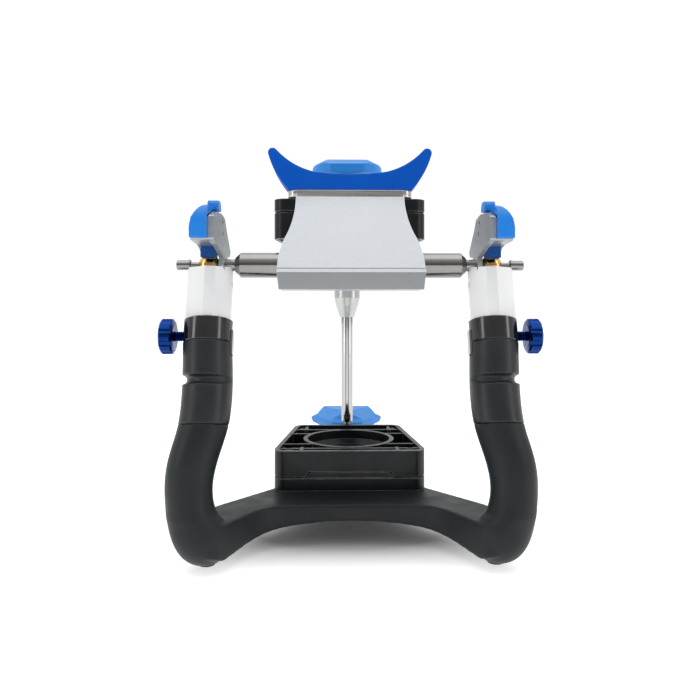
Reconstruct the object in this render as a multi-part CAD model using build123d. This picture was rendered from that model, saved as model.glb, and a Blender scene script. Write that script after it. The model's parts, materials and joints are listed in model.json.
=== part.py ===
"""Dental articulator of the semi-adjustable kind, every physical piece a node of its own.

Frame: +Z up, the table at z = 0, +Y towards the incisal pin at the front, +X to the user's right
when seen from behind. Sub-parts are drawn about the condylar axis at y = 0 and moved to the
origin, the middle of the footprint, when they are written.
"""
from build123d import *
from math import cos, radians, sin
import os

# ---- driving dimensions, mm ----
CONDYLE_X = 56.0          # half of the distance between the condyle balls
AXIS_Z = 112.8            # height of the condylar axis above the table
AXIS_Y = -55.0            # where the condylar axis stands in the written frame
FRONT_Y = 140.0           # front end of the base, measured from the axis
RUN_GAP = 0.1             # radial clearance of turning and sliding fits
SEAT_GAP = 0.05           # clearance of fixed joints
SCREW_GAP = 0.15          # clearance holes of the countersunk screws
BODY_GAP = 0.3            # air between pieces that move past each other

# stanchions: collar, post and the top of the grip lean forward together
STANCHION_X = 55.2
LEAN = 15.0
COLLAR_R = 9.3
COLLAR_TOP = -22.7        # distances along the leaning axis, from the condylar axis
COLLAR_BOTTOM = -31.6
SPIGOT_R = 6.5
SPIGOT_END = -41.0
SCREW_S = -28.9
POST_TOP_Z = 112.0

# base and plates
BASE_TOP = 17.5
ARCH_TOP = 10.8           # underside of the base at the middle and where it meets the legs
ARCH_FOOT = 4.6
ARCH_HALF = 46.0
PAD_T = 1.2
ADAPTOR_T = 5.5
PLATFORM_BOTTOM = 142.8
PLATFORM_T = 2.9
PLATE_H = 11.4
PLATE_REAR_Y = 20.0
PLATE_FRONT_Y = 84.0
PLATE_REAR_HALF = 33.2
PLATE_FRONT_HALF = 26.8
PLATE_CORNER = 5.0
PLATE_FLOOR = 4.4
PLATE_WALL = 2.0
RING_Y = 50.0
RING_R = 21.3
RING_BORE_R = 19.4
MAGNET_R = 15.0
MAGNET_T = 3.0
KEEPER_T = 1.6
TAB_HALF = 17.0
TAB_H = 2.3
SCREW_HEAD_R = 3.8
SCREW_SHANK_R = 2.0
SCREW_PLACES = [(-22.0, 30.0), (22.0, 30.0), (-15.0, 76.0), (15.0, 76.0)]

# incisal pin, its guide and the table under it
PIN_Y = 92.0
PIN_R = 3.1
PIN_TIP_Z = 33.3
PIN_TIP_H = 5.0
PIN_TOP_Z = 173.0
SLEEVE_R = 6.8
SLEEVE_NOSE_Z = 91.2
SLEEVE_SHOULDER_Z = 101.5
REST_Z = 33.0
CLAMP_KNOB_Z = 165.6
CLAMP_KNOB_R = 18.6
TABLE_KNOB_Y = 118.0
TABLE_KNOB_Z = 29.6
TABLE_KNOB_R = 20.6
CARRIER_T = 9.5

# condylar axle
ROD_R = 5.0
NECK_R = 2.4
AXLE_R = 1.2
BALL_R = 4.3
EAR_PIN_R = 2.0
ROD_INNER_X = 14.0
ROD_SHOULDER_X = 43.8
EAR_PIN_X = 63.3
EAR_PIN_END_X = 68.8

# condylar housing
SIDE_PLATE_X = 49.6
SIDE_PLATE_T = 1.9
SHELL_OUT_X = 59.3
HUB_R = 5.4
INSERT_X = (52.0, 58.0)
INSERT_Y = (-8.2, 3.0)
INSERT_TOP = 121.0
LEVER_PIVOT = (-3.0, 126.0)
LEVER_PIN_R = 1.25

# upper arm
ARM_HALF = 28.7
ARM_NECK_HALF = 22.9
ARM_REAR_Y = -10.0
ARM_FOOT_Z = 103.0

# thumb screw
THUMB_R = 6.8
THUMB_IN_X = 67.8
THUMB_OUT_X = 72.9
THUMB_SHANK_R = 2.0

GRIP_TOP_Y = COLLAR_BOTTOM * sin(radians(LEAN))
GRIP_TOP_Z = AXIS_Z + COLLAR_BOTTOM * cos(radians(LEAN))

# Leg sections from the collar down to the foot: x, y, z, half width, half depth, forward lean.
LEG = [
    (STANCHION_X, GRIP_TOP_Y, GRIP_TOP_Z, 9.3, 9.3, LEAN),
    (54.6, -10.9, 71.0, 9.4, 9.4, 13),
    (54.5, -13.2, 61.8, 9.4, 9.4, 12),
    (55.3, -15.4, 52.4, 9.3, 9.3, 12),
    (57.5, -17.6, 43.8, 9.2, 9.2, 11),
    (59.3, -19.3, 36.0, 8.9, 8.9, 8),
    (59.7, -20.4, 28.0, 8.6, 8.6, 3),
    (58.5, -20.8, 20.5, 9.2, 9.1, 0),
    (56.2, -20.7, 15.0, 10.4, 9.2, 0),
    (55.2, -20.0, 8.5, 9.2, 8.7, 0),
    (54.6, -18.4, 4.0, 6.9, 6.8, 0),
    (54.2, -15.2, PAD_T, 3.5, 4.4, 0),
]
GRIP_SECTIONS = 4         # the grip is the first three spans of the leg
ELBOW_SECTION = 8         # the elbow starts at the eighth section

MID_Z = (BASE_TOP + PLATFORM_BOTTOM) / 2
PLATE_GAP = 0.2           # parting line between adaptor and mounting plate
RIB_T = 1.3
BOSS_PLACES = [(26.6, PLATE_REAR_Y + 8.0), (22.2, PLATE_FRONT_Y - 6.5)]
SCREW_DEPTH = 7.0
STUD_R = 3.0
BOSS_R = 2.2
PAD_R = 3.0
PAD_Y = -14.6
FRONT_PAD_R = 8.5
PLATE_SCREW_R = 0.9
PLATE_SCREW_PLACES = [(-7.3, 129.0), (-6.3, 124.6)]
CRESCENT_DEPTH = 15.0
CHEEK_FACE = [(51.0, 119.0), (61.3, 119.0), (61.3, 131.2), (59.6, 133.2), (51.0, 134.6)]


# ---- helpers ----
def stanchion_plane():
    """Local frame of the right stanchion: origin on the condylar axis, z up along the lean."""
    lean = radians(LEAN)
    return Plane(origin=(STANCHION_X, 0, AXIS_Z), x_dir=(1, 0, 0), z_dir=(0, sin(lean), cos(lean)))


def x_cylinder(radius, x0, x1, y, z):
    """Cylinder along X from x0 to x1."""
    return Pos((x0 + x1) / 2, y, z) * Rot(0, 90, 0) * Cylinder(radius, abs(x1 - x0))


def z_cylinder(radius, x, y, z0, z1):
    """Cylinder along Z from z0 to z1."""
    return Pos(x, y, (z0 + z1) / 2) * Cylinder(radius, z1 - z0)


def block(x0, x1, y0, y1, z0, z1):
    """Box between two corners."""
    return Pos((x0 + x1) / 2, (y0 + y1) / 2, (z0 + z1) / 2) * Box(x1 - x0, y1 - y0, z1 - z0)


def turned(points, y, z):
    """Solid of revolution about an axis along X; points are (x, radius)."""
    outline = Polyline([(points[0][0], 0)] + points + [(points[-1][0], 0)], close=True)
    return Pos(0, y, z) * revolve(make_face(outline), Axis.X)


def lathe(points, x, y, z):
    """Solid of revolution about a vertical axis; points are (radius, height)."""
    outline = Polyline([(0, points[0][1])] + points + [(0, points[-1][1])], close=True)
    return Pos(x, y, z) * revolve(Plane.XZ * make_face(outline), Axis.Z)


def side_solid(points, x0, x1, corner=0.0):
    """Prism along X of an outline given as (y, z) points, its corners rounded."""
    face = make_face(Polyline(points, close=True))
    if corner > 0:
        face = fillet(face.vertices(), corner)
    return extrude(Plane.YZ.offset(x0) * face, x1 - x0)


def rear_solid(points, y0, y1):
    """Prism along Y of an outline given as (x, z) points."""
    return extrude(Plane.XZ.offset(-y0) * make_face(Polyline(points, close=True)), -(y1 - y0))


def leg_section(row):
    """Ellipse that closes one span of the leg."""
    x, y, z, half_width, half_depth, lean = row
    tilt = radians(lean)
    plane = Plane(origin=(x, y, z), x_dir=(1, 0, 0), z_dir=(0, sin(tilt), cos(tilt)))
    return plane * Ellipse(half_width, half_depth)


def group(solids):
    """Separate solids that share one node."""
    together = solids[0]
    for solid in solids[1:]:
        together = together + solid
    return together


def other_side(part):
    """The mirror image of a right-hand piece."""
    return mirror(part, about=Plane.YZ)


def upper_copy(part):
    """The same piece turned over for the upper member, mirrored half-way between the members."""
    return mirror(part, about=Plane.XY.offset(MID_Z))


# ---- lower member ----
def base_outline():
    """Plan of the base: two arms from the legs meeting in a tongue that runs to the front."""
    rear = ThreePointArc((-24, -1.0), (0, 0), (24, -1.0))
    root_points = [(24, -1.0), (33.6, -4.6), (40.2, -13.2), (47.4, -26.4)]
    right_root = Spline(root_points, tangents=[(1, -0.08), (0.6, -1)])
    left_root = mirror(right_root, about=Plane.YZ)
    right = Polyline((47.4, -26.4), (52.4, -28.8), (59, -20), (60, -12), (53.5, 0.5), (33.3, 25.4), (24, 60),
                     (17, 100), (17, 124))
    nose = ThreePointArc((17, 124), (0, FRONT_Y), (-17, 124))
    left = Polyline((-17, 124), (-17, 100), (-24, 60), (-33.3, 25.4), (-53.5, 0.5), (-60, -12),
                    (-59, -20), (-52.4, -28.8), (-47.4, -26.4))
    return make_face([rear, right_root, right, nose, left, left_root])


def base_frame():
    """Arched base with both legs up to the grips, one moulding."""
    arch = ThreePointArc((-ARCH_HALF, ARCH_FOOT), (0, ARCH_TOP), (ARCH_HALF, ARCH_FOOT))
    rim = Polyline((ARCH_HALF, ARCH_FOOT), (61, ARCH_FOOT), (61, BASE_TOP), (-61, BASE_TOP),
                   (-61, ARCH_FOOT), (-ARCH_HALF, ARCH_FOOT))
    beam = extrude(Plane.XZ.offset(32) * make_face([arch, rim]), -(FRONT_Y + 40))
    beam = beam & extrude(base_outline(), BASE_TOP)
    keel = [(-31, BASE_TOP), (-31, 12.5), (-27.5, 6.5), (-24, 4.4), (-12, 0), (FRONT_Y + 1, 0),
            (FRONT_Y + 1, BASE_TOP)]
    beam = beam & side_solid(keel, -62, 62)
    shin = loft([leg_section(row) for row in LEG[GRIP_SECTIONS - 1:ELBOW_SECTION]])
    elbow = loft([leg_section(row) for row in LEG[ELBOW_SECTION - 1:]])
    leg = shin + elbow
    frame = beam + leg + other_side(leg)
    front_boss = lathe([(9.5, PAD_T), (12.5, ARCH_TOP + 3)], 0, TABLE_KNOB_Y, 0)
    frame = frame + front_boss
    for x, y in SCREW_PLACES:
        frame = frame - z_cylinder(SCREW_SHANK_R + SCREW_GAP, x, y, BASE_TOP - SCREW_DEPTH, BASE_TOP + 1)
    frame = frame - z_cylinder(STUD_R + SEAT_GAP, 0, TABLE_KNOB_Y, BASE_TOP - SCREW_DEPTH, BASE_TOP + 1)
    return frame


def rubber_feet():
    """Three pads under the two legs and the front boss."""
    pads = [z_cylinder(PAD_R, side * LEG[-1][0], PAD_Y, 0, PAD_T) for side in (-1, 1)]
    pads.append(z_cylinder(FRONT_PAD_R, 0, TABLE_KNOB_Y, 0, PAD_T))
    return group(pads)


def clip_pocket(gap):
    """Room for the steel clip on the inner side of the collar."""
    half_x = 0.7 + gap
    half_y = 2.0 + gap
    return stanchion_plane() * Pos(-9.1, 0, -31.5) * Box(2 * half_x, 2 * half_y, 9.5 + 2 * gap)


def grip():
    """Soft-touch grip between the collar and the moulded leg, with its finger notch."""
    body = loft([leg_section(row) for row in LEG[:GRIP_SECTIONS]])
    socket = stanchion_plane() * z_cylinder(SPIGOT_R + SEAT_GAP, 0, 0, SPIGOT_END - 0.2, COLLAR_BOTTOM + 1)
    notch = Pos(53.6, -9.9, 68.2) * Rot(-10, 0, 0) * Torus(10.6, 1.7)
    return body - socket - notch - clip_pocket(SEAT_GAP)


def collar():
    """Glossy ring at the top of the grip; the thumb screw passes through its outer wall."""
    ring = Pos(0, 0, (COLLAR_TOP + COLLAR_BOTTOM) / 2) * Cylinder(COLLAR_R, COLLAR_TOP - COLLAR_BOTTOM)
    ring = chamfer(ring.edges().filter_by(GeomType.CIRCLE), 0.35)
    ring = ring - z_cylinder(SPIGOT_R + SEAT_GAP, 0, 0, COLLAR_BOTTOM - 1, COLLAR_TOP + 1)
    ring = ring - x_cylinder(THUMB_SHANK_R + RUN_GAP, 0, COLLAR_R + 1, 0, SCREW_S)
    return stanchion_plane() * ring - clip_pocket(SEAT_GAP)


def post():
    """Faceted aluminium post with its spigot, ball pocket, axle groove and housing slot."""
    facets = [(8.8, -1.5), (8.8, 1.5), (1.0, 8.0), (-3.1, 8.0), (-8.4, 1.5), (-8.4, -1.5),
              (-3.1, -8.0), (1.0, -8.0)]
    shaft = extrude(Pos(0, 0, COLLAR_TOP) * make_face(Polyline(facets, close=True)), 30)
    spigot = z_cylinder(SPIGOT_R, 0, 0, SPIGOT_END, COLLAR_TOP)
    body = stanchion_plane() * (shaft + spigot)
    body = body - block(30, 80, -30, 30, POST_TOP_Z, POST_TOP_Z + 30)
    body = body - Pos(CONDYLE_X, 0, AXIS_Z) * Sphere(BALL_R + RUN_GAP)
    groove_r = NECK_R + RUN_GAP
    body = body - x_cylinder(groove_r, 40, 70, 0, AXIS_Z)
    body = body - block(40, 70, -groove_r, groove_r, AXIS_Z, AXIS_Z + 5)
    slot_r = HUB_R + BODY_GAP
    slot_x = (SIDE_PLATE_X - BODY_GAP, SIDE_PLATE_X + SIDE_PLATE_T + BODY_GAP)
    body = body - x_cylinder(slot_r, slot_x[0], slot_x[1], 0, AXIS_Z)
    body = body - block(slot_x[0], slot_x[1], -slot_r, slot_r, AXIS_Z, AXIS_Z + 5)
    body = body - x_cylinder(1.3, 40, 50.5, -2.2, 104.8)
    return body


def side_clip():
    """Spring-steel clip let into the inner side of the collar and grip."""
    return clip_pocket(0)


def thumb_screw():
    """Fluted thumb screw with its threaded shank, turning about X."""
    lean = radians(LEAN)
    y = SCREW_S * sin(lean)
    z = AXIS_Z + SCREW_S * cos(lean)
    tip_x = STANCHION_X + SPIGOT_R + 0.15
    head = [(THUMB_IN_X, THUMB_SHANK_R), (THUMB_IN_X, 4.6), (THUMB_IN_X + 0.3, 6.0),
            (THUMB_IN_X + 0.9, THUMB_R), (THUMB_OUT_X - 0.6, THUMB_R), (THUMB_OUT_X, THUMB_R - 0.7),
            (THUMB_OUT_X, 2.2), (THUMB_OUT_X - 0.7, 1.6)]
    screw = turned(head, y, z)
    shank = [(tip_x, THUMB_SHANK_R - 0.4)]
    pitch = 0.7
    turns = int((THUMB_IN_X - tip_x) / pitch)
    for turn in range(turns):
        x = tip_x + 0.3 + turn * pitch
        shank += [(x, THUMB_SHANK_R - 0.3), (x + pitch / 2, THUMB_SHANK_R)]
    shank.append((THUMB_IN_X + 0.2, THUMB_SHANK_R - 0.3))
    screw = screw + turned(shank, y, z)
    for flute in range(8):
        angle = radians(45 * flute + 22.5)
        centre = (THUMB_R + 0.9)
        screw = screw - x_cylinder(1.7, THUMB_IN_X, THUMB_OUT_X + 1, y + centre * cos(angle),
                                   z + centre * sin(angle))
    return screw


# ---- mounting plates, drawn for the lower member ----
def plate_face(inset=0.0):
    """Plan of the tapered mounting plate."""
    rear_half = PLATE_REAR_HALF - inset
    front_half = PLATE_FRONT_HALF - inset
    rear_y = PLATE_REAR_Y + inset
    front_y = PLATE_FRONT_Y - inset
    corners = [(-rear_half, rear_y), (rear_half, rear_y), (front_half, front_y), (-front_half, front_y)]
    face = make_face(Polyline(corners, close=True))
    return fillet(face.vertices(), PLATE_CORNER - inset)


def adaptor():
    """Flat adaptor screwed to the base, with the magnet pocket and the locating tab."""
    top = BASE_TOP + ADAPTOR_T
    body = extrude(Pos(0, 0, BASE_TOP) * plate_face(), ADAPTOR_T)
    body = chamfer(body.edges().group_by(Axis.Z)[-1], 0.35)
    tab = [(-TAB_HALF - 2, top), (TAB_HALF + 2, top), (TAB_HALF, top + TAB_H), (-TAB_HALF, top + TAB_H)]
    body = body + rear_solid(tab, PLATE_REAR_Y + 0.4, PLATE_REAR_Y + 5)
    body = body - z_cylinder(MAGNET_R + SEAT_GAP, 0, RING_Y, top - MAGNET_T, top + 1)
    for x, y in SCREW_PLACES:
        body = body - z_cylinder(SCREW_SHANK_R + SCREW_GAP, x, y, BASE_TOP - 1, top + 1)
        body = body - screw_head(x, y, SEAT_GAP)
    return body


def screw_head(x, y, gap):
    """Countersunk head sunk just under the face of the adaptor."""
    top = BASE_TOP + ADAPTOR_T
    shank_r = SCREW_SHANK_R + gap
    head_r = SCREW_HEAD_R + gap
    rim = top - 0.4 + 20 * gap
    return lathe([(shank_r, top - 2.6), (head_r, top - 0.6), (head_r, rim)], x, y, 0)


def adaptor_screws(depth):
    """Four countersunk screws with hexagon sockets, reaching the given depth below the adaptor."""
    screws = []
    for x, y in SCREW_PLACES:
        shank = z_cylinder(SCREW_SHANK_R, x, y, BASE_TOP - depth, BASE_TOP + ADAPTOR_T - 2)
        socket = Pos(x, y, BASE_TOP + ADAPTOR_T - 1.9) * extrude(RegularPolygon(1.5, 6), 3)
        screws.append(shank + screw_head(x, y, 0) - socket)
    return group(screws)


def magnet():
    """Disc magnet in the adaptor."""
    top = BASE_TOP + ADAPTOR_T
    disc = z_cylinder(MAGNET_R, 0, RING_Y, top - MAGNET_T, top - 0.1)
    return chamfer(disc.edges().group_by(Axis.Z)[-1], 0.3)


def mounting_plate():
    """Ribbed plastic plate that carries the plaster cast; it lifts off the magnet."""
    low = BASE_TOP + ADAPTOR_T + PLATE_GAP
    high = low + PLATE_H
    floor = low + PLATE_FLOOR
    body = extrude(Pos(0, 0, low) * plate_face(), PLATE_H)
    body = chamfer(body.edges().group_by(Axis.Z)[0], 0.35)
    body = body - extrude(Pos(0, 0, floor) * plate_face(PLATE_WALL), PLATE_H)
    ribs = []
    span = PLATE_REAR_HALF - 1
    for y in (RING_Y - RING_R - 1.6, RING_Y + RING_R + 0.2):
        ribs.append(block(-span, span, y, y + RIB_T, floor - 0.5, high - 0.4))
    for y in (RING_Y - 13.5, RING_Y + 11.0):
        ribs.append(block(-span, span, y, y + RIB_T, floor - 0.5, high - 0.4))
    for side in (-1, 1):
        rib_x = side * 21
        for y in (PLATE_REAR_Y + 1, RING_Y + RING_R):
            ribs.append(block(rib_x - RIB_T / 2, rib_x + RIB_T / 2, y, y + 9, floor - 0.5, high - 0.4))
        for x, y in BOSS_PLACES:
            ribs.append(z_cylinder(BOSS_R, side * x, y, floor - 0.5, high - 0.9))
    web = ribs[0]
    for rib in ribs[1:]:
        web = web + rib
    web = web & extrude(Pos(0, 0, low) * plate_face(PLATE_WALL / 2), PLATE_H)
    web = web + z_cylinder(RING_R, 0, RING_Y, floor - 0.5, high - 0.2)
    body = body + web
    bowl = [(8.0, floor - 0.8), (RING_BORE_R - 2.0, floor + 0.3), (RING_BORE_R, floor + 2.6),
            (RING_BORE_R, high + 1)]
    body = body - lathe(bowl, 0, RING_Y, 0)
    for side in (-1, 1):
        for x, y in BOSS_PLACES:
            body = body - z_cylinder(BOSS_R / 2, side * x, y, floor, high)
    notch = [(-TAB_HALF - 3, low - 1), (TAB_HALF + 3, low - 1), (TAB_HALF + 0.7, low + TAB_H + 0.2),
             (-TAB_HALF - 0.7, low + TAB_H + 0.2)]
    body = body - rear_solid(notch, PLATE_REAR_Y - 1, PLATE_REAR_Y + 5.4)
    body = body - z_cylinder(MAGNET_R + SEAT_GAP, 0, RING_Y, low - 1, low + KEEPER_T)
    return body


def keeper_disc():
    """Steel disc under the mounting plate that the magnet holds."""
    low = BASE_TOP + ADAPTOR_T + PLATE_GAP
    return z_cylinder(MAGNET_R, 0, RING_Y, low, low + KEEPER_T)


# ---- incisal table ----
def table_carrier():
    """Carrier block of the incisal table on the tongue of the base."""
    body = block(-15, 15, PLATE_FRONT_Y + 1.6, 128, BASE_TOP, BASE_TOP + CARRIER_T)
    body = fillet(body.edges().filter_by(Axis.Z), 4.0)
    body = chamfer(body.edges().group_by(Axis.Z)[-1], 0.8)
    body = body - z_cylinder(STUD_R + SEAT_GAP, 0, TABLE_KNOB_Y, BASE_TOP - 1, BASE_TOP + CARRIER_T + 1)
    return body


def incisal_rest():
    """Hardened, slightly dished anvil that the pin stands on."""
    floor = BASE_TOP + CARRIER_T
    anvil = block(-9, 9, PLATE_FRONT_Y + 2.2, 95.6, floor, REST_Z)
    anvil = fillet(anvil.edges().filter_by(Axis.Z), 1.5)
    anvil = chamfer(anvil.edges().group_by(Axis.Z)[-1], 0.5)
    return anvil - Pos(0, PIN_Y, REST_Z + 39.8) * Sphere(40)


def table_stud():
    """Threaded stud and washer of the table knob."""
    low = BASE_TOP - SCREW_DEPTH + 0.3
    stud = z_cylinder(STUD_R, 0, TABLE_KNOB_Y, low, TABLE_KNOB_Z + 4.5)
    washer = z_cylinder(8.0, 0, TABLE_KNOB_Y, BASE_TOP + CARRIER_T, TABLE_KNOB_Z - BODY_GAP)
    return stud + washer


def with_flats(solid, y, top, rim, first_angle):
    """Cut three sloping flats into a turned knob; top and rim are (distance, height) on a flat."""
    rise = (2 * top[0] - rim[0], 2 * top[1] - rim[1])
    outside = [rise, rim, (rim[0], 0), (60, 0), (60, rise[1])]
    cutter = rear_solid(outside, -40, 40)
    for place in range(3):
        solid = solid - Pos(0, y, 0) * Rot(0, 0, first_angle + 120 * place) * cutter
    return solid


def table_knob():
    """Low knob that clamps the incisal table: three sloping flats between rounded lobes."""
    r = TABLE_KNOB_R
    low = TABLE_KNOB_Z
    top = low + 8.8
    profile = [(r - 4.5, low), (r - 1.2, low + 0.7), (r, low + 2.9), (r - 0.5, low + 3.6),
               (r - 3.6, low + 5.0), (r - 5.7, top - 0.3), (r - 6.1, top)]
    knob = with_flats(lathe(profile, 0, TABLE_KNOB_Y, 0), TABLE_KNOB_Y, (8.0, top), (16.5, low + 3.8), 90)
    return knob - z_cylinder(STUD_R + RUN_GAP, 0, TABLE_KNOB_Y, low - 1, low + 4.8)


# ---- condylar housings ----
def side_plate():
    """Inner cheek of the housing; its round lower end turns in the slot of the post."""
    outline = [(2.0, 116.4), (9.4, 116.6), (11.6, 118.8), (7.2, 122.6), (2.3, 126.4), (-2.0, 130.8),
               (-9.0, 131.8), (-19.0, 131.2), (-26.0, 129.0), (-26.0, 120.3), (-21.0, 119.2),
               (-14.6, 118.4), (-8.3, 116.4), (-3.4, 115.2)]
    plate = side_solid(outline, SIDE_PLATE_X, SIDE_PLATE_X + SIDE_PLATE_T, 0.9)
    plate = plate + x_cylinder(HUB_R, SIDE_PLATE_X, SIDE_PLATE_X + SIDE_PLATE_T, 0, AXIS_Z)
    plate = plate - x_cylinder(NECK_R + RUN_GAP, 48, 53, 0, AXIS_Z)
    for y, z in PLATE_SCREW_PLACES:
        plate = plate - x_cylinder(PLATE_SCREW_R + SEAT_GAP, 48, 53, y, z)
    return plate


def plate_screws():
    """Two small screws that hold the cheek to the shell, set under its face."""
    inner = SIDE_PLATE_X + 0.5
    screws = [x_cylinder(PLATE_SCREW_R, inner, SIDE_PLATE_X + 5, y, z) for y, z in PLATE_SCREW_PLACES]
    return group(screws)


def insert_pocket(gap):
    """Room for the exchangeable insert in the roof of the housing."""
    return block(INSERT_X[0] - gap, INSERT_X[1] + gap, INSERT_Y[0] - gap, INSERT_Y[1] + gap, 113,
                 INSERT_TOP + gap)


def housing_shell():
    """Roof and outer wall of the housing; the roof overhangs to the rear above an open arch."""
    inner = SIDE_PLATE_X + SIDE_PLATE_T
    outline = [(-26.0, 120.2), (-26.0, 128.4), (-19.0, 130.3), (-9.0, 130.3), (-2.5, 129.3), (2.3, 125.4),
               (6.8, 121.0), (6.8, 117.7), (-5.6, 117.7), (-7.0, 119.4), (-9.6, 120.2)]
    shell = side_solid(outline, inner, SHELL_OUT_X, 0.6)
    plan = make_face(Polyline((inner - 1, -27), (57.9, -27), (SHELL_OUT_X, -12), (SHELL_OUT_X, 8),
                              (inner - 1, 8), close=True))
    shell = shell & extrude(Pos(0, 0, 110) * plan, 30)
    rear_view = [(inner - 1, 115), (58.4, 115), (58.7, 118.2), (SHELL_OUT_X, 120.4), (SHELL_OUT_X, 132),
                 (inner - 1, 132)]
    shell = shell & rear_solid(rear_view, -28, 9)
    shell = shell - insert_pocket(SEAT_GAP)
    shell = shell - x_cylinder(LEVER_PIN_R + SEAT_GAP, SHELL_OUT_X - 4, SHELL_OUT_X + 1, *LEVER_PIVOT)
    for y, z in PLATE_SCREW_PLACES:
        shell = shell - x_cylinder(PLATE_SCREW_R + SEAT_GAP, 50, SIDE_PLATE_X + 5, y, z)
    return shell


def track_insert():
    """Blue exchangeable insert over the ball; its underside drops behind the ball as a stop."""
    rear, front = INSERT_Y
    outline = [(rear, 115.4), (rear, INSERT_TOP), (front, INSERT_TOP), (front, 117.5), (-4.5, 117.5),
               (-5.2, 115.4)]
    return side_solid(outline, *INSERT_X) - track_block(SEAT_GAP)


def track_block(gap):
    """Form of the dark wear strip let into the underside of the insert."""
    return block(52.6 - gap, 57.4 + gap, -7.7 - gap, -5.6 + gap, 114.9 - gap, 116.0 + gap)


def track_strip():
    """Dark wear strip under the insert."""
    return track_block(0)


def lever_rear_face():
    """Rear view of the lever: straight inner edge, crowned outer edge."""
    crown = ThreePointArc((58.1, 123.0), (57.2, 128.4), (54.4, 132.6))
    rest = Polyline((54.4, 132.6), (51.0, 134.6), (51.0, 119.0), (58.1, 119.0), (58.1, 123.0))
    return make_face([crown, rest])


def lock_lever():
    """Blue lever over the housing, with a raised finger tab and a cheek on its pivot pin."""
    inner = SIDE_PLATE_X + SIDE_PLATE_T + 0.4
    rear_bend = ThreePointArc((-28.2, 126.0), (-26.6, 131.0), (-22.0, 133.4))
    ridge = Polyline((-22.0, 133.4), (-9.0, 133.6), (-1.0, 132.2), (0.6, 131.4), (-0.2, 130.1),
                     (-2.2, 130.0), (-9.0, 130.8), (-19.2, 130.8), (-26.4, 128.9), (-26.4, 120.8),
                     (-28.2, 120.8), (-28.2, 126.0))
    saddle = extrude(Plane.YZ.offset(inner) * make_face([rear_bend, ridge]), SHELL_OUT_X + 1.8 - inner)
    shoulder_y = -7.5
    rear_view = extrude(Plane.XZ.offset(30) * lever_rear_face(), -(30 + shoulder_y))
    saddle = saddle & (rear_view + rear_solid(CHEEK_FACE, shoulder_y, 6))
    tab = [(-17.0, 130.9), (-17.6, 134.4), (-16.6, 135.8), (-12.6, 135.8), (-11.4, 134.2), (-11.0, 130.9)]
    tab = side_solid(tab, SIDE_PLATE_X - 0.2, 53.6, 0.6)
    tab = tab - block(40, inner, -30, 10, 120, 132.2)
    cheek = [(-7.2, 131.6), (-6.4, 124.2), (-3.0, 122.6), (0.4, 124.2), (1.4, 128.0), (0.4, 131.2)]
    cheek = side_solid(cheek, SHELL_OUT_X + BODY_GAP, SHELL_OUT_X + 1.8, 0.8)
    lever = saddle + tab + cheek
    return lever - x_cylinder(LEVER_PIN_R + RUN_GAP, SHELL_OUT_X - 1, SHELL_OUT_X + 3, *LEVER_PIVOT)


def lever_pin():
    """Steel pivot pin of the lever with a flat head outside the cheek."""
    y, z = LEVER_PIVOT
    pin = x_cylinder(LEVER_PIN_R, SHELL_OUT_X - 3.6, SHELL_OUT_X + 2.1, y, z)
    head = x_cylinder(2.2, SHELL_OUT_X + 2.0, SHELL_OUT_X + 2.8, y, z)
    return pin + chamfer(head.edges(), 0.2)


# ---- upper member ----
def condylar_rod():
    """Steel rod clamped in the arm, stepped down to the neck and the axle of the ball."""
    step_x = CONDYLE_X - BALL_R + 0.7
    profile = [(ROD_INNER_X, ROD_R - 0.5), (ROD_INNER_X + 0.5, ROD_R), (ROD_SHOULDER_X - 0.2, ROD_R),
               (ROD_SHOULDER_X + 1.8, 3.1), (ROD_SHOULDER_X + 2.1, NECK_R), (step_x, NECK_R),
               (step_x, AXLE_R), (EAR_PIN_X + 3.0, AXLE_R)]
    return turned(profile, 0, AXIS_Z)


def condyle_ball():
    """Brass-coloured condyle ball on the axle."""
    ball = Pos(CONDYLE_X, 0, AXIS_Z) * Sphere(BALL_R)
    ball = ball - x_cylinder(AXLE_R + 0.02, 50, 62, 0, AXIS_Z)
    return ball - x_cylinder(NECK_R + 0.02, 50, CONDYLE_X - BALL_R + 0.7, 0, AXIS_Z)


def ear_pin():
    """Steel end pin that takes the face bow, with a raised ring at its inner end."""
    inner = EAR_PIN_X
    ring_r = EAR_PIN_R + 0.25
    profile = [(inner, EAR_PIN_R - 0.3), (inner + 0.2, ring_r), (inner + 1.0, ring_r),
               (inner + 1.1, EAR_PIN_R), (EAR_PIN_END_X - 0.3, EAR_PIN_R), (EAR_PIN_END_X, EAR_PIN_R - 0.3)]
    return turned(profile, 0, AXIS_Z) - x_cylinder(AXLE_R + 0.02, inner - 1, inner + 3.1, 0, AXIS_Z)


def waist_cutter():
    """Material outside the waisted right edge of the arm."""
    low_arc = ThreePointArc((ARM_HALF, 111.5), (28.0, 119.0), (25.6, 125.8))
    high_arc = ThreePointArc((25.6, 125.8), (23.5, 133.2), (ARM_NECK_HALF, PLATFORM_BOTTOM + 0.1))
    rim = Polyline((ARM_NECK_HALF, PLATFORM_BOTTOM + 0.1), (40, PLATFORM_BOTTOM + 0.1), (40, ARM_FOOT_Z - 1),
                   (ARM_HALF - 0.9, ARM_FOOT_Z - 1), (ARM_HALF, 109.6), (ARM_HALF, 111.5))
    return extrude(Plane.XZ.offset(20) * make_face([low_arc, high_arc, rim]), -60)


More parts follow.
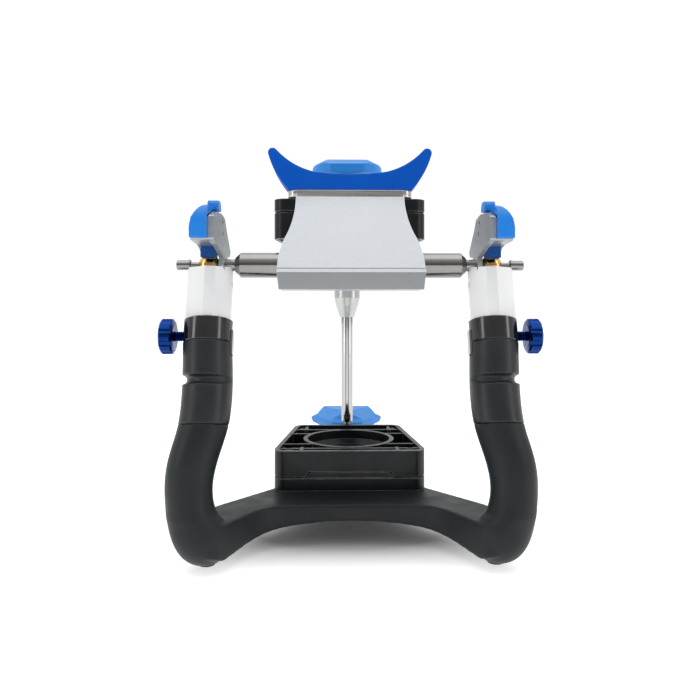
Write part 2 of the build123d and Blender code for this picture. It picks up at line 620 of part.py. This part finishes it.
def upper_arm():
    """Wedge-shaped rear arm with waisted sides, a rounded lip and the bores for the rods."""
    rear = ARM_REAR_Y
    side = make_face(Polyline((rear, ARM_FOOT_Z), (rear, 109.6), (rear + 0.9, 110.9), (rear + 1.5, 110.9),
                              (rear + 1.8, 110.5), (rear + 2.1, 111.4), (15, PLATFORM_BOTTOM),
                              (19.7, PLATFORM_BOTTOM), (19.7, 137.0), (11.5, 121.0), (9.5, 112.5),
                              (9.5, ARM_FOOT_Z), close=True))
    arm = extrude(Plane.YZ.offset(-ARM_HALF) * side, 2 * ARM_HALF)
    arm = arm - waist_cutter() - other_side(waist_cutter())
    for side_sign in (-1, 1):
        arm = arm - x_cylinder(ROD_R + SEAT_GAP, side_sign * (ROD_INNER_X - 0.1), side_sign * 40, 0, AXIS_Z)
    return arm


def platform_face():
    """Plan of the upper frame plate: square at the rear, narrowing to a round nose at the pin."""
    rim = Polyline((13, PIN_Y), (26.3, 66), (26.3, 15), (-26.3, 15), (-26.3, 66), (-13, PIN_Y))
    nose = ThreePointArc((-13, PIN_Y), (0, PIN_Y + 13), (13, PIN_Y))
    face = make_face([rim, nose])
    corners = face.vertices().group_by(Axis.Y)[0]
    return fillet(corners, 4.0)


def platform_plate():
    """Upper frame plate on top of the arm; it holds the upper adaptor and the pin guide."""
    plate = extrude(Pos(0, 0, PLATFORM_BOTTOM) * platform_face(), PLATFORM_T)
    plate = chamfer(plate.edges().group_by(Axis.Z)[-1], 0.3)
    plate = plate - z_cylinder(SLEEVE_R + SEAT_GAP, 0, PIN_Y, PLATFORM_BOTTOM - 1, PLATFORM_BOTTOM + 9)
    for x, y in SCREW_PLACES:
        plate = plate - z_cylinder(SCREW_SHANK_R + SCREW_GAP, x, y, PLATFORM_BOTTOM - 1, PLATFORM_BOTTOM + 9)
    return plate


def crescent_rest():
    """Blue horned rest on which the upper member stands when it is turned over."""
    low = PLATFORM_BOTTOM + PLATFORM_T
    foot = Line((-26.0, low), (26.0, low))
    side = ThreePointArc((26.0, low), (31.2, low + 7.0), (34.6, low + 15.2))
    tip = ThreePointArc((34.6, low + 15.2), (34.0, low + 17.5), (31.2, low + 17.3))
    brow = ThreePointArc((31.2, low + 17.3), (24.0, low + 11.4), (15.0, low + 7.9))
    top = ThreePointArc((15.0, low + 7.9), (0, low + 6.9), (-15.0, low + 7.9))
    left = [mirror(edge, about=Plane.YZ) for edge in (brow, tip, side)]
    face = make_face([foot, side, tip, brow, top] + left)
    body = extrude(Plane.XZ.offset(-15.6) * face, -CRESCENT_DEPTH)
    for x in (-12, 12):
        body = body - z_cylinder(1.5 + SEAT_GAP, x, 15.6 + CRESCENT_DEPTH / 2, low - 1, low + 3.2)
    return body


def pin_sleeve():
    """Bullet-nosed guide sleeve of the incisal pin, hung through the platform."""
    shoulder = SLEEVE_SHOULDER_Z
    nose = SLEEVE_NOSE_Z
    profile = [(3.9, nose), (4.9, nose + 3.0), (5.9, nose + 6.2), (6.5, nose + 8.6), (SLEEVE_R, shoulder),
               (SLEEVE_R, PLATFORM_BOTTOM + PLATFORM_T)]
    return lathe(profile, 0, PIN_Y, 0) - z_cylinder(PIN_R + RUN_GAP, 0, PIN_Y, nose - 1, PLATFORM_BOTTOM + 9)


def pin_boss():
    """Flanged and threaded neck on the platform that the clamp knob tightens on."""
    low = PLATFORM_BOTTOM + PLATFORM_T
    profile = [(11.0, low), (11.0, low + 2.2), (10.4, low + 2.8), (8.2, low + 3.2), (7.6, low + 5.0),
               (7.6, CLAMP_KNOB_Z - 0.4), (4.6, CLAMP_KNOB_Z - 0.4), (4.6, CLAMP_KNOB_Z + 5.0)]
    return lathe(profile, 0, PIN_Y, 0) - z_cylinder(PIN_R + RUN_GAP, 0, PIN_Y, low - 1, CLAMP_KNOB_Z + 9)


def clamp_knob():
    """Knob on the threaded neck, with three sloping flats; the incisal pin passes up through it."""
    r = CLAMP_KNOB_R
    low = CLAMP_KNOB_Z
    top = low + 8.6
    profile = [(r - 3.0, low), (r - 0.5, low + 0.8), (r, low + 1.6), (r, low + 5.0), (r - 0.6, low + 6.0),
               (r - 5.3, top)]
    knob = with_flats(lathe(profile, 0, PIN_Y, 0), PIN_Y, (8.5, top), (16.4, low + 4.8), -90)
    knob = knob - z_cylinder(4.6 + RUN_GAP, 0, PIN_Y, low - 1, low + 5.3)
    return knob - z_cylinder(PIN_R + RUN_GAP + 0.1, 0, PIN_Y, low, low + 12)


def incisal_pin():
    """Chromed incisal pin, sliding in the sleeve."""
    pin = z_cylinder(PIN_R, 0, PIN_Y, PIN_TIP_Z + PIN_TIP_H, PIN_TOP_Z)
    return chamfer(pin.edges().group_by(Axis.Z)[-1], 0.5)


def pin_tip():
    """Rounded hard tip of the incisal pin."""
    low = PIN_TIP_Z
    profile = [(1.2, low), (2.2, low + 0.5), (2.9, low + 1.5), (PIN_R, low + 2.8), (PIN_R, low + PIN_TIP_H)]
    return lathe(profile, 0, PIN_Y, 0)


def crescent_dowels():
    """Two dowels between the platform and the crescent rest."""
    top = PLATFORM_BOTTOM + PLATFORM_T
    return group([z_cylinder(1.5, x, 15.6 + CRESCENT_DEPTH / 2, top, top + 3.0) for x in (-12, 12)])


def build_nodes():
    """Name and solid of every sub-part."""
    nodes = {
        "base_frame": base_frame(),
        "rubber_feet": rubber_feet(),
        "lower_adaptor": adaptor(),
        "lower_adaptor_screws": adaptor_screws(SCREW_DEPTH - 0.5),
        "lower_magnet": magnet(),
        "lower_mounting_plate": mounting_plate(),
        "lower_keeper_disc": keeper_disc(),
        "table_carrier": table_carrier(),
        "incisal_rest": incisal_rest(),
        "table_stud": table_stud(),
        "table_knob": table_knob(),
        "upper_arm": upper_arm(),
        "platform_plate": platform_plate(),
        "crescent_rest": crescent_rest(),
        "crescent_dowels": crescent_dowels(),
        "pin_sleeve": pin_sleeve(),
        "pin_boss": pin_boss(),
        "clamp_knob": clamp_knob(),
        "incisal_pin": incisal_pin(),
        "incisal_pin_tip": pin_tip(),
    }
    nodes["upper_adaptor_screws"] = upper_copy(adaptor_screws(PLATFORM_T - 0.3))
    turned_over = ("adaptor", "magnet", "mounting_plate", "keeper_disc")
    for name in turned_over:
        nodes["upper_" + name] = upper_copy(nodes["lower_" + name])
    handed = {
        "grip": grip, "collar": collar, "post": post, "side_clip": side_clip, "thumb_screw": thumb_screw,
        "side_plate": side_plate, "plate_screws": plate_screws, "housing_shell": housing_shell,
        "track_insert": track_insert, "track_strip": track_strip, "lock_lever": lock_lever,
        "lever_pin": lever_pin, "condylar_rod": condylar_rod, "condyle_ball": condyle_ball,
        "ear_pin": ear_pin,
    }
    for name, make in handed.items():
        piece = make()
        nodes["right_" + name] = piece
        nodes["left_" + name] = other_side(piece)
    return nodes


os.makedirs("parts", exist_ok=True)
for node, solid in build_nodes().items():
    export_step(Pos(0, AXIS_Y, 0) * solid, "parts/" + node + ".step")
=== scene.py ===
"""Looks of the dental articulator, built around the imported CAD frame. Metres, +Z up, +Y to the front."""
import json
from math import radians

import bmesh
import bpy
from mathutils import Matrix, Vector


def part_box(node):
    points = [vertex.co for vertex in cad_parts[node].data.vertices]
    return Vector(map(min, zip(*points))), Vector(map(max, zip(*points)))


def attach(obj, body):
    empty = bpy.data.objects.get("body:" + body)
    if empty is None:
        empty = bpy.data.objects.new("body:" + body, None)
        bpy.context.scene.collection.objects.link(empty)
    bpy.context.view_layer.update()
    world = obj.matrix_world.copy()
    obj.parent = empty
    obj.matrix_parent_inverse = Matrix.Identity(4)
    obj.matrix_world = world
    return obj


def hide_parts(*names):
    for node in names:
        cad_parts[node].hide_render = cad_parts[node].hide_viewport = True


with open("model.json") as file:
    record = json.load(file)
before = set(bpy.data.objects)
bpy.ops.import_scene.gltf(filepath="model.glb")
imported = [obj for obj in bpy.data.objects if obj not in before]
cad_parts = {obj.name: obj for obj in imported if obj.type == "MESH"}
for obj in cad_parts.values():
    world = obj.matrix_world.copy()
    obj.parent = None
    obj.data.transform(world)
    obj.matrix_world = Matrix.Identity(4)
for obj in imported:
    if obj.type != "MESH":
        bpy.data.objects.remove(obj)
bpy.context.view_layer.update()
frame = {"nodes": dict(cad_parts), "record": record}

MM = 0.001
SLOT_OF = {row["node"]: row["material_slot"] for row in frame["record"]["subparts"]}
BODY_OF = {node: body for body, nodes in frame["record"]["behaviour"]["bodies"].items() for node in nodes}
SIDES = ("right", "left")

WELD_DISTANCE = 1e-6        # vertices closer than this are one
BUTT_ROUNDING = 0.25        # share of the rounding that a butt joint keeps
SEAM_MARGIN = 0.5 * MM      # how far the held-back band reaches past the seam of grip and leg
EDGE_WIDTH = 0.25 * MM      # broken edges of the machined plates
EDGE_ANGLE = radians(38)    # only edges sharper than this are broken
SKY = ((0.0, 0.10), (0.33, 0.40), (0.67, 0.85), (1.0, 1.15))  # brightness of the room from behind to overhead
FRONT_PULL, UP_PULL = 0.45, 0.9  # how much the room brightens towards the front and towards the top


# ---- shader building blocks ----
class Surface:
    """A Principled material whose colour, roughness and bump are built up in layers."""

    def __init__(self, name, colour, roughness, metallic=0.0, specular=0.5):
        self.material = bpy.data.materials.new(name)
        self.material.use_nodes = True
        self.tree = self.material.node_tree
        self.shader = self.tree.nodes["Principled BSDF"]
        self.shader.inputs["Base Color"].default_value = (*colour, 1)
        self.shader.inputs["Roughness"].default_value = roughness
        self.shader.inputs["Metallic"].default_value = metallic
        self.shader.inputs["Specular IOR Level"].default_value = specular
        self.colour = colour
        self.roughness = roughness
        self.position = self.add("ShaderNodeTexCoord").outputs["Object"]
        self.normal = None

    def add(self, kind):
        return self.tree.nodes.new(kind)

    def link(self, source, target):
        self.tree.links.new(source, target)

    def noise(self, scale, detail=3.0, stretch=(1, 1, 1)):
        """Noise in object space; stretch draws the pattern out along an axis."""
        mapping = self.add("ShaderNodeMapping")
        mapping.inputs["Scale"].default_value = stretch
        self.link(self.position, mapping.inputs["Vector"])
        texture = self.add("ShaderNodeTexNoise")
        texture.inputs["Scale"].default_value = scale
        texture.inputs["Detail"].default_value = detail
        self.link(mapping.outputs["Vector"], texture.inputs["Vector"])
        return texture.outputs["Fac"]

    def remap(self, value, low, high, start=0.3, end=0.7):
        """Spread a 0-1 value between two levels."""
        ramp = self.add("ShaderNodeMapRange")
        ramp.inputs["From Min"].default_value = start
        ramp.inputs["From Max"].default_value = end
        ramp.inputs["To Min"].default_value = low
        ramp.inputs["To Max"].default_value = high
        self.link(value, ramp.inputs["Value"])
        return ramp.outputs["Result"]

    def mottled(self, scale, amount, other, stretch=(1, 1, 1)):
        """Let the colour drift towards another one in soft patches."""
        mix = self.add("ShaderNodeMix")
        mix.data_type = "RGBA"
        mix.inputs["A"].default_value = (*self.colour, 1)
        mix.inputs["B"].default_value = (*other, 1)
        self.link(self.remap(self.noise(scale, 4, stretch), 0, amount), mix.inputs["Factor"])
        self.link(mix.outputs["Result"], self.shader.inputs["Base Color"])

    def worn_and_highlit_edges(self, radius, other, amount):
        """Lighten the outer edges, broken up by noise: handling wear, and on the black plate also a painted
        highlight of the bright room.
        """
        edge_cosine, flat_cosine = 0.86, 0.995
        breakup = 420
        bevel = self.add("ShaderNodeBevel")
        bevel.samples = 4
        bevel.inputs["Radius"].default_value = radius
        geometry = self.add("ShaderNodeNewGeometry")
        dot = self.add("ShaderNodeVectorMath")
        dot.operation = "DOT_PRODUCT"
        self.link(bevel.outputs["Normal"], dot.inputs[0])
        self.link(geometry.outputs["Normal"], dot.inputs[1])
        edge = self.remap(dot.outputs["Value"], amount, 0, edge_cosine, flat_cosine)
        broken = self.add("ShaderNodeMath")
        broken.operation = "MULTIPLY"
        self.link(edge, broken.inputs[0])
        self.link(self.remap(self.noise(breakup, 5), 0.35, 1), broken.inputs[1])
        mix = self.add("ShaderNodeMix")
        mix.data_type = "RGBA"
        mix.inputs["B"].default_value = (*other, 1)
        socket = self.shader.inputs["Base Color"]
        if socket.is_linked:
            self.link(socket.links[0].from_socket, mix.inputs["A"])
        else:
            mix.inputs["A"].default_value = (*self.colour, 1)
        self.link(broken.outputs["Value"], mix.inputs["Factor"])
        self.link(mix.outputs["Result"], socket)

    def uneven(self, scale, swing, stretch=(1, 1, 1)):
        """Vary the roughness about its mean."""
        value = self.noise(scale, 5, stretch)
        level = self.remap(value, self.roughness - swing, self.roughness + swing)
        self.link(level, self.shader.inputs["Roughness"])

    def bumpy(self, scale, height, detail=3.0, stretch=(1, 1, 1)):
        """Add a layer of relief of the given height in metres."""
        bump = self.add("ShaderNodeBump")
        bump.inputs["Strength"].default_value = 1.0
        bump.inputs["Distance"].default_value = height
        self.link(self.noise(scale, detail, stretch), bump.inputs["Height"])
        if self.normal is not None:
            self.link(self.normal, bump.inputs["Normal"])
        self.normal = bump.outputs["Normal"]
        self.link(self.normal, self.shader.inputs["Normal"])

    def painted_glow(self, inner, outer, centre, scale):
        """Paint light on the surface as emission: the inner level at the centre, the outer one further out.
        """
        mapping = self.add("ShaderNodeMapping")
        mapping.inputs["Location"].default_value = [-c * s for c, s in zip(centre, scale)]
        mapping.inputs["Scale"].default_value = scale
        self.link(self.position, mapping.inputs["Vector"])
        distance = self.add("ShaderNodeVectorMath")
        distance.operation = "LENGTH"
        self.link(mapping.outputs["Vector"], distance.inputs[0])
        level = self.remap(distance.outputs["Value"], inner, outer, start=0.75, end=1.5)
        self.link(level, self.shader.inputs["Emission Strength"])
        self.shader.inputs["Emission Color"].default_value = (1, 1, 1, 1)

    def coat(self, weight, roughness):
        self.shader.inputs["Coat Weight"].default_value = weight
        self.shader.inputs["Coat Roughness"].default_value = roughness


# ---- materials ----
def frame_black():
    """Charcoal moulding with a fine, slightly uneven soft-touch texture."""
    look = Surface("frame_black", (0.009, 0.0115, 0.0135), 0.48, specular=0.26)
    look.mottled(38, 0.6, (0.017, 0.0205, 0.023))
    look.uneven(95, 0.09)
    look.bumpy(30, 0.00035, 2)
    look.bumpy(2100, 0.000022, 2)
    return look.material


def grip_black():
    """Soft-touch grip, a little lighter and more matt than the frame."""
    look = Surface("grip_black", (0.011, 0.014, 0.016), 0.38, specular=0.36)
    look.mottled(55, 0.6, (0.022, 0.026, 0.028))
    look.uneven(120, 0.08)
    look.bumpy(2300, 0.000024, 2)
    return look.material


def foot_rubber():
    """Dull black rubber with dust in its pores."""
    look = Surface("foot_rubber", (0.012, 0.012, 0.012), 0.82)
    look.mottled(300, 0.5, (0.05, 0.05, 0.048))
    look.uneven(500, 0.08)
    look.bumpy(1600, 0.00004)
    return look.material


def collar_black():
    """Glossy black ring with faint turning marks and handling haze."""
    look = Surface("collar_black", (0.004, 0.0045, 0.005), 0.16)
    look.mottled(80, 0.5, (0.012, 0.013, 0.014))
    look.uneven(160, 0.05)
    look.bumpy(30, 0.00001, 2, (1, 1, 60))
    look.coat(0.5, 0.08)
    return look.material


def plate_black():
    """Satin black moulding; its edges are painted lighter, as wear from the plaster and the hand and as a
    painted highlight of the bright room at grazing angle.
    """
    look = Surface("plate_black", (0.002, 0.003, 0.0045), 0.36, specular=0.34)
    look.mottled(70, 0.6, (0.007, 0.0085, 0.011))
    # painted highlight: the pale edge colour also stands in for the bright room that the ring top reflects at
    # a grazing angle
    look.worn_and_highlit_edges(0.45 * MM, (0.40, 0.41, 0.42), 0.9)
    look.uneven(180, 0.07)
    look.bumpy(900, 0.000006)
    return look.material


def post_aluminium():
    """Bright, finely ground aluminium, ground along its length."""
    look = Surface("post_aluminium", (0.95, 0.95, 0.945), 0.36, 0.35)
    look.mottled(45, 0.6, (0.83, 0.84, 0.85), (1, 1, 0.3))
    look.uneven(80, 0.05, (2, 2, 0.3))
    look.bumpy(150, 0.000001, 2, (2, 2, 0.1))
    return look.material


def housing_aluminium():
    """Satin cool-grey anodised aluminium."""
    look = Surface("housing_aluminium", (0.42, 0.44, 0.47), 0.36, 0.8)
    look.mottled(60, 0.6, (0.34, 0.36, 0.39))
    look.worn_and_highlit_edges(0.25 * MM, (0.75, 0.76, 0.78), 0.6)
    look.uneven(280, 0.07)
    look.bumpy(1400, 0.000003, 2)
    return look.material


def arm_aluminium():
    """Bead-blasted, clear-anodised aluminium."""
    look = Surface("arm_aluminium", (0.425, 0.442, 0.458), 0.42, 1.0)
    look.mottled(14, 0.6, (0.413, 0.431, 0.45))
    look.worn_and_highlit_edges(0.3 * MM, (0.85, 0.86, 0.87), 0.6)
    look.uneven(900, 0.04)
    look.bumpy(2600, 0.000009, 2)
    return look.material


def platform_aluminium():
    """Brushed aluminium plate, brushed across its width."""
    look = Surface("platform_aluminium", (0.58, 0.56, 0.545), 0.30, 1.0)
    look.mottled(60, 0.6, (0.50, 0.485, 0.47), (0.2, 1, 1))
    look.worn_and_highlit_edges(0.25 * MM, (0.9, 0.9, 0.9), 0.7)
    look.uneven(400, 0.08, (0.08, 3, 3))
    look.bumpy(1200, 0.000006, 3, (0.03, 2, 2))
    return look.material


def turned_steel():
    """Stainless steel with fine turning rings about X."""
    look = Surface("steel", (0.29, 0.283, 0.275), 0.15, 1.0)
    look.mottled(90, 0.6, (0.25, 0.243, 0.238), (2, 0.3, 0.3))
    look.uneven(240, 0.05, (4, 0.2, 0.2))
    look.bumpy(500, 0.0000006, 2, (3, 0.05, 0.05))
    return look.material


def screw_steel():
    """Blackened screws, rubbed bright on their rims."""
    look = Surface("screw_steel", (0.10, 0.10, 0.105), 0.38, 1.0)
    look.mottled(400, 0.6, (0.20, 0.19, 0.18))
    look.worn_and_highlit_edges(0.2 * MM, (0.5, 0.5, 0.5), 0.7)
    look.uneven(700, 0.1)
    look.bumpy(2500, 0.00001)
    return look.material


def pin_chrome():
    """Polished chrome with the faint haze of wiping."""
    look = Surface("pin_chrome", (0.47, 0.47, 0.465), 0.10, 1.0)
    look.mottled(120, 0.5, (0.40, 0.40, 0.40), (1, 1, 0.2))
    look.uneven(260, 0.035, (1, 1, 0.3))
    look.bumpy(1500, 0.0000012, 2, (0.3, 0.3, 3))
    return look.material


def sleeve_steel():
    """Pale, satin-polished sleeve."""
    look = Surface("sleeve_steel", (0.53, 0.54, 0.53), 0.34, 0.9)
    look.mottled(90, 0.6, (0.48, 0.49, 0.48))
    look.uneven(240, 0.05)
    look.bumpy(900, 0.0000015)
    return look.material


def ball_brass():
    """Polished gold-coloured ball with rubbing marks."""
    look = Surface("ball_brass", (0.83, 0.55, 0.20), 0.16, 1.0)
    look.mottled(350, 0.6, (0.62, 0.40, 0.14))
    look.uneven(500, 0.06)
    look.bumpy(1800, 0.000004)
    return look.material


def blue_moulding(name, colour, drift, edge, roughness, specular=0.3):
    """Saturated blue moulding with soft flow marks, paler handled edges and a very fine grain."""
    look = Surface(name, colour, roughness, specular=specular)
    look.mottled(50, 0.6, drift)
    look.worn_and_highlit_edges(0.3 * MM, edge, 0.45)
    look.uneven(170, 0.07)
    look.bumpy(1500, 0.000012)
    return look.material


def blue_anodised():
    """Deep blue anodised aluminium, a little brighter on the flute edges."""
    look = Surface("blue_anodised", (0.006, 0.040, 0.21), 0.26, 1.0)
    look.mottled(260, 0.6, (0.004, 0.028, 0.15))
    look.worn_and_highlit_edges(0.25 * MM, (0.06, 0.16, 0.50), 0.6)
    look.uneven(600, 0.08)
    look.bumpy(2200, 0.000005)
    return look.material


MATERIALS = {
    "frame_black": frame_black(),
    "grip_black": grip_black(),
    "foot_rubber": foot_rubber(),
    "collar_black": collar_black(),
    "plate_black": plate_black(),
    "post_aluminium": post_aluminium(),
    "housing_aluminium": housing_aluminium(),
    "arm_aluminium": arm_aluminium(),
    "platform_aluminium": platform_aluminium(),
    "steel": turned_steel(),
    "screw_steel": screw_steel(),
    "pin_chrome": pin_chrome(),
    "sleeve_steel": sleeve_steel(),
    "ball_brass": ball_brass(),
    "blue_plastic": blue_moulding("blue_plastic", (0.012, 0.19, 0.66), (0.016, 0.225, 0.72),
                                  (0.06, 0.36, 0.85), 0.34),
    # painted shade: a darker copy of the same blue plastic, standing in for the shade on the crescent's
    # upright face
    "crescent_blue": blue_moulding("crescent_blue", (0.0, 0.078, 0.45), (0.0, 0.092, 0.49),
                                   (0.01, 0.22, 0.74), 0.46, 0.12),
    # painted light: a lighter copy of the same blue plastic, standing in for the light falling on the knobs'
    # up-facing faces
    "knob_blue": blue_moulding("knob_blue", (0.020, 0.23, 0.68), (0.028, 0.265, 0.74),
                               (0.08, 0.40, 0.88), 0.40),
    # painted shade: a darker copy of the same blue plastic, standing in for the shadow on the insert under
    # the housing
    "insert_blue": blue_moulding("insert_blue", (0.001, 0.045, 0.20), (0.002, 0.060, 0.25),
                                 (0.01, 0.14, 0.48), 0.36),
    "blue_anodised": blue_anodised(),
}


# ---- pieces ----
def dress(piece, material):
    """Give a piece one material on every slot."""
    piece.data.materials.clear()
    piece.data.materials.append(material)


def final_mesh(piece):
    """The piece's mesh with its modifiers applied."""
    bpy.context.view_layer.update()
    graph = bpy.context.evaluated_depsgraph_get()
    return bpy.data.meshes.new_from_object(piece.evaluated_get(graph))


def moulded(node, voxel, passes, butt=None):
    """Stand a softened copy in for a CAD node: remeshed evenly, its edges rounded as a mould leaves them.

    Between the two heights of butt the rounding is held back, so that a butt joint stays tight.
    """
    mesh = frame["nodes"][node].data.copy()
    solid = bmesh.new()
    solid.from_mesh(mesh)
    bmesh.ops.remove_doubles(solid, verts=solid.verts, dist=WELD_DISTANCE)
    solid.to_mesh(mesh)
    solid.free()
    piece = bpy.data.objects.new("moulded_" + node, mesh)
    bpy.context.scene.collection.objects.link(piece)
    remesh = piece.modifiers.new("voxels", "REMESH")
    remesh.mode = "VOXEL"
    remesh.voxel_size = voxel
    mesh = final_mesh(piece)
    piece.modifiers.clear()
    piece.data = mesh
    relax = piece.modifiers.new("relax", "SMOOTH")
    relax.factor = 0.5
    relax.iterations = passes
    if butt:
        free = piece.vertex_groups.new(name="free")
        free.add([v.index for v in mesh.vertices], 1.0, "REPLACE")
        free.add([v.index for v in mesh.vertices if butt[0] < v.co.z < butt[1]], BUTT_ROUNDING, "REPLACE")
        relax.vertex_group = free.name
    mesh = final_mesh(piece)
    piece.modifiers.clear()
    piece.vertex_groups.clear()
    piece.data = mesh
    mesh.polygons.foreach_set("use_smooth", [True] * len(mesh.polygons))
    dress(piece, MATERIALS[SLOT_OF[node]])
    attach(piece, BODY_OF[node])
    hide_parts(node)


def broken_edges(node):
    """Round the sharp edges of a CAD node with a narrow bevel."""
    piece = frame["nodes"][node]
    weld = piece.modifiers.new("weld", "WELD")
    weld.merge_threshold = WELD_DISTANCE
    bevel = piece.modifiers.new("edge", "BEVEL")
    bevel.width = EDGE_WIDTH
    bevel.segments = 2
    bevel.limit_method = "ANGLE"
    bevel.angle_limit = EDGE_ANGLE


for node, piece in frame["nodes"].items():
    dress(piece, MATERIALS[SLOT_OF[node]])

seam = (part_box("right_grip")[0][2] - SEAM_MARGIN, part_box("base_frame")[1][2] + SEAM_MARGIN)
moulded("base_frame", voxel=0.6 * MM, passes=14, butt=seam)
moulded("crescent_rest", voxel=0.45 * MM, passes=6)
for knob in ("clamp_knob", "table_knob"):
    moulded(knob, voxel=0.3 * MM, passes=3)
for side in SIDES:
    moulded(side + "_grip", voxel=0.4 * MM, passes=3, butt=seam)
    moulded(side + "_lock_lever", voxel=0.25 * MM, passes=4)

for node in ("upper_arm", "platform_plate", "table_carrier"):
    broken_edges(node)


# ---- stage, light and camera ----
def floor():
    """Plain white floor; a painted glow lifts it to white around the object, and a weaker glow beneath the
    object paints a shadow there.
    """
    half = 4.0
    mesh = bpy.data.meshes.new("floor")
    corners = [(-half, -half, 0), (half, -half, 0), (half, half, 0), (-half, half, 0)]
    mesh.from_pydata(corners, [], [(0, 1, 2, 3)])
    plane = bpy.data.objects.new("floor", mesh)
    bpy.context.scene.collection.objects.link(plane)
    look = Surface("floor_white", (0.66, 0.66, 0.66), 0.6, specular=0.2)
    look.uneven(3, 0.05)
    shade_centre = (0, -0.028, 0)
    shade_x, shade_y = 0.058, 0.036
    # painted shadow: the emission is weakest around shade_centre, so the floor under the base turns dark
    look.painted_glow(0.03, 0.64, shade_centre, (1 / shade_x, 1 / shade_y, 1))
    dress(plane, look.material)


def surroundings():
    """A pale room, bright overhead and in front, dim behind the camera; the backdrop is plain white."""
    world = bpy.data.worlds.new("studio")
    bpy.context.scene.world = world
    world.use_nodes = True
    tree = world.node_tree
    room = tree.nodes["Background"]
    coordinate = tree.nodes.new("ShaderNodeTexCoord")
    height = tree.nodes.new("ShaderNodeVectorMath")
    height.operation = "DOT_PRODUCT"
    height.inputs[1].default_value = (0, FRONT_PULL, UP_PULL)
    tree.links.new(coordinate.outputs["Generated"], height.inputs[0])
    spread = tree.nodes.new("ShaderNodeMapRange")
    spread.inputs["From Min"].default_value = -FRONT_PULL
    spread.inputs["From Max"].default_value = UP_PULL
    tree.links.new(height.outputs["Value"], spread.inputs["Value"])
    ramp = tree.nodes.new("ShaderNodeValToRGB")
    stops = ramp.color_ramp.elements
    for stop, (place, level) in zip(stops, (SKY[0], SKY[-1])):
        stop.position = place
        stop.color = (level, level, level, 1)
    for place, level in SKY[1:-1]:
        stops.new(place).color = (level, level, level, 1)
    tree.links.new(spread.outputs["Result"], ramp.inputs["Fac"])
    tree.links.new(ramp.outputs["Color"], room.inputs["Color"])
    backdrop = tree.nodes.new("ShaderNodeBackground")
    backdrop.inputs["Color"].default_value = (1, 1, 1, 1)
    backdrop.inputs["Strength"].default_value = 1.05
    path = tree.nodes.new("ShaderNodeLightPath")
    mix = tree.nodes.new("ShaderNodeMixShader")
    tree.links.new(path.outputs["Is Camera Ray"], mix.inputs["Fac"])
    tree.links.new(room.outputs["Background"], mix.inputs[1])
    tree.links.new(backdrop.outputs["Background"], mix.inputs[2])
    tree.links.new(mix.outputs["Shader"], tree.nodes["World Output"].inputs["Surface"])


def softbox(name, place, target, width, height, power):
    """Rectangular area light aimed at a point."""
    light = bpy.data.lights.new(name, "AREA")
    light.shape = "RECTANGLE"
    light.size = width
    light.size_y = height
    light.energy = power
    lamp = bpy.data.objects.new(name, light)
    bpy.context.scene.collection.objects.link(lamp)
    lamp.location = place
    lamp.rotation_euler = (Vector(target) - Vector(place)).to_track_quat("-Z", "Y").to_euler()


def camera():
    """Level camera behind the object, a little below the condylar axis and a touch to the left."""
    aside, behind, below = -0.006, 0.260, 0.0175
    data = bpy.data.cameras.new("view")
    data.sensor_width = 36
    data.lens = 33.58
    data.shift_y = -0.058
    data.clip_start = 0.01
    eye = bpy.data.objects.new("view", data)
    bpy.context.scene.collection.objects.link(eye)
    axis = Vector([joint["pos_m"] for joint in frame["record"]["behaviour"]["joints"]
                   if joint["name"] == "upper_member_hinge"][0])
    eye.location = (aside, axis.y - behind, axis.z - below)
    eye.rotation_euler = (radians(90), 0, radians(-1.237))
    bpy.context.scene.camera = eye


floor()
surroundings()
centre = (0, 0, 0.09)
softbox("overhead", (0, -0.15, 0.95), centre, 1.0, 0.8, 2.2)
for name, x in (("left_strip", -0.85), ("right_strip", 0.85)):
    softbox(name, (x, -0.45, 0.35), centre, 0.2, 0.8, 1.5)
camera()
bpy.context.scene.view_settings.view_transform = "Standard"
